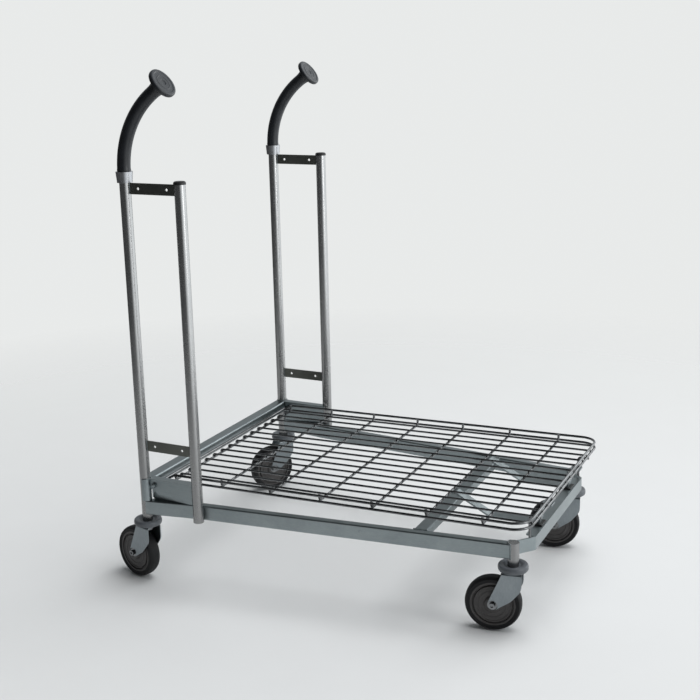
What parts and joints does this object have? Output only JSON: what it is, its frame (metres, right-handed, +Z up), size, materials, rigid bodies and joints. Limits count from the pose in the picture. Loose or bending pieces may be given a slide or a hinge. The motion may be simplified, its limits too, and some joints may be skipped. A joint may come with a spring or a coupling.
{
  "type": "folding platform cart",
  "caption": "Nesting platform cart: tapered steel frame, wire deck hinged at the rear, two side ladders with curved push grips, swivel casters.",
  "frame": {"origin": "middle of the cart's length and width, on the floor", "axes": "+X forwards, away from the push grips; +Y to the cart's left; +Z up"},
  "size_m": [1.0274, 0.7384, 1.1952],
  "materials": {
    "zinc_steel": "satin bluish zinc plating",
    "zinc_tube": "smooth bright zinc plating",
    "dark_bar": "dull zinc plating",
    "bright_collar": "satin cast",
    "fork_steel": "bright zinc plating",
    "fastener": "zinc plated",
    "chromed_wire": "bright plated wire",
    "grip_rubber": "smooth charcoal rubber",
    "black_cap": "matte black",
    "bumper_rubber": "grey rubber",
    "hub_plastic": "dark brown-grey moulded",
    "tyre": "black solid rubber"
  },
  "bodies": {
    "frame": {"rear_post_left": "zinc_tube", "front_upright_left": "zinc_tube", "ladder_bar_upper_left": "dark_bar", "ladder_bar_lower_left": "dark_bar", "grip_left": "grip_rubber", "grip_disc_left": "grip_rubber", "side_plate_left": "zinc_steel", "side_rail_left": "zinc_steel", "rear_post_right": "zinc_tube", "front_upright_right": "zinc_tube", "ladder_bar_upper_right": "dark_bar", "ladder_bar_lower_right": "dark_bar", "grip_right": "grip_rubber", "grip_disc_right": "grip_rubber", "side_plate_right": "zinc_steel", "side_rail_right": "zinc_steel", "upright_caps": "black_cap", "post_collars": "bright_collar", "collar_screws": "fastener", "rear_cross_rail": "zinc_steel", "mid_cross_rail": "zinc_steel", "front_caster_tubes": "zinc_tube", "front_bar": "zinc_steel", "rest_buffers": "black_cap", "caster_bumpers": "bumper_rubber", "caster_stems": "fastener", "stem_expanders": "bumper_rubber"},
    "deck": {"deck_lower_rim": "chromed_wire", "deck_upper_rim": "chromed_wire", "deck_cross_wires": "chromed_wire", "deck_long_wires": "chromed_wire", "deck_legs": "chromed_wire", "deck_hinge_rod": "chromed_wire", "deck_skid_left": "zinc_steel", "deck_skid_right": "zinc_steel", "deck_hinge_caps": "fastener"},
    "swivel_rear_right": {"fork_rear_right": "fork_steel", "swivel_race_rear_right": "fastener", "axle_bolt_rear_right": "fastener"},
    "wheel_rear_right": {"wheel_hub_rear_right": "hub_plastic", "tyre_rear_right": "tyre", "wheel_bearings_rear_right": "fastener"},
    "swivel_rear_left": {"fork_rear_left": "fork_steel", "swivel_race_rear_left": "fastener", "axle_bolt_rear_left": "fastener"},
    "wheel_rear_left": {"wheel_hub_rear_left": "hub_plastic", "tyre_rear_left": "tyre", "wheel_bearings_rear_left": "fastener"},
    "swivel_front_right": {"fork_front_right": "fork_steel", "swivel_race_front_right": "fastener", "axle_bolt_front_right": "fastener"},
    "wheel_front_right": {"wheel_hub_front_right": "hub_plastic", "tyre_front_right": "tyre", "wheel_bearings_front_right": "fastener"},
    "swivel_front_left": {"fork_front_left": "fork_steel", "swivel_race_front_left": "fastener", "axle_bolt_front_left": "fastener"},
    "wheel_front_left": {"wheel_hub_front_left": "hub_plastic", "tyre_front_left": "tyre", "wheel_bearings_front_left": "fastener"}
  },
  "joints": [
    {"name": "deck_fold", "type": "hinge", "parent": "frame", "child": "deck", "pos_m": [-0.38531, 0, 0.244], "axis": [0, -1, 0], "range_deg": [0, 80]},
    {"name": "swivel_turn_rear_right", "type": "hinge", "parent": "frame", "child": "swivel_rear_right", "pos_m": [-0.41131, -0.335, 0.141], "axis": [0, 0, 1], "continuous": true},
    {"name": "wheel_spin_rear_right", "type": "hinge", "parent": "swivel_rear_right", "child": "wheel_rear_right", "pos_m": [-0.4513, -0.32391, 0.0625], "axis": [0.2672, 0.9636, 0], "continuous": true},
    {"name": "swivel_turn_rear_left", "type": "hinge", "parent": "frame", "child": "swivel_rear_left", "pos_m": [-0.41131, 0.335, 0.141], "axis": [0, 0, 1], "continuous": true},
    {"name": "wheel_spin_rear_left", "type": "hinge", "parent": "swivel_rear_left", "child": "wheel_rear_left", "pos_m": [-0.43452, 0.30059, 0.0625], "axis": [-0.829, 0.5592, 0], "continuous": true},
    {"name": "swivel_turn_front_right", "type": "hinge", "parent": "frame", "child": "swivel_front_right", "pos_m": [0.46269, -0.236, 0.141], "axis": [0, 0, 1], "continuous": true},
    {"name": "wheel_spin_front_right", "type": "hinge", "parent": "swivel_front_right", "child": "wheel_front_right", "pos_m": [0.42182, -0.24321, 0.0625], "axis": [-0.1736, 0.9848, 0], "continuous": true},
    {"name": "swivel_turn_front_left", "type": "hinge", "parent": "frame", "child": "swivel_front_left", "pos_m": [0.46269, 0.236, 0.141], "axis": [0, 0, 1], "continuous": true},
    {"name": "wheel_spin_front_left", "type": "hinge", "parent": "swivel_front_left", "child": "wheel_front_left", "pos_m": [0.42242, 0.22596, 0.0625], "axis": [-0.2419, 0.9703, 0], "continuous": true}
  ]
}
